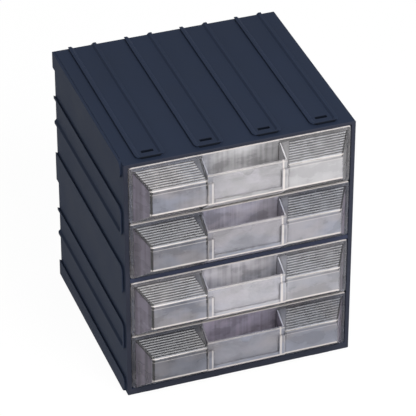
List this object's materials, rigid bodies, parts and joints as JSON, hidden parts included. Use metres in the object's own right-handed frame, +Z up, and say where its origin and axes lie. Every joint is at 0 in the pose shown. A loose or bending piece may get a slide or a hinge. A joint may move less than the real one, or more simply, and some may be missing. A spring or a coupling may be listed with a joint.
{
  "type": "parts bin cabinet",
  "caption": "Modular parts cabinet: a dark moulded casing with coupling tracks and clear pull-out drawers with ribbed ledges, finger pockets and label holders.",
  "frame": {"origin": "on the surface the cabinet stands on, at the centre of its whole footprint with the drawers closed", "axes": "+Z up, -Y towards the drawer fronts, +X to the right as seen from the front"},
  "size_m": [0.2076, 0.21, 0.2396],
  "materials": {
    "casing_plastic": "satin dark blue-grey moulded plastic with a fine grain",
    "inner_plastic": "plain dark moulded plastic",
    "clear_plastic": "clear moulded plastic with a faint cool tint",
    "cover_plastic": "thin clear film, slightly frosted"
  },
  "bodies": {
    "cabinet": {"casing": "casing_plastic", "back_panel": "casing_plastic", "middle_shelf": "inner_plastic", "runner_upper_left": "inner_plastic", "runner_upper_right": "inner_plastic", "runner_lower_left": "inner_plastic", "runner_lower_right": "inner_plastic"},
    "drawer_1_unit": {"drawer_1": "clear_plastic", "divider_1_left": "clear_plastic", "divider_1_right": "clear_plastic", "label_cover_1": "cover_plastic"},
    "drawer_2_unit": {"drawer_2": "clear_plastic", "divider_2_left": "clear_plastic", "divider_2_right": "clear_plastic", "label_cover_2": "cover_plastic"},
    "drawer_3_unit": {"drawer_3": "clear_plastic", "divider_3_left": "clear_plastic", "divider_3_right": "clear_plastic", "label_cover_3": "cover_plastic"},
    "drawer_4_unit": {"drawer_4": "clear_plastic", "divider_4_left": "clear_plastic", "divider_4_right": "clear_plastic", "label_cover_4": "cover_plastic"}
  },
  "joints": [
    {"name": "drawer_1_slide", "type": "slide", "parent": "cabinet", "child": "drawer_1_unit", "axis": [0, -1, 0], "range_m": [0, 0.15]},
    {"name": "drawer_2_slide", "type": "slide", "parent": "cabinet", "child": "drawer_2_unit", "axis": [0, -1, 0], "range_m": [0, 0.15]},
    {"name": "drawer_3_slide", "type": "slide", "parent": "cabinet", "child": "drawer_3_unit", "axis": [0, -1, 0], "range_m": [0, 0.15]},
    {"name": "drawer_4_slide", "type": "slide", "parent": "cabinet", "child": "drawer_4_unit", "axis": [0, -1, 0], "range_m": [0, 0.15]}
  ]
}
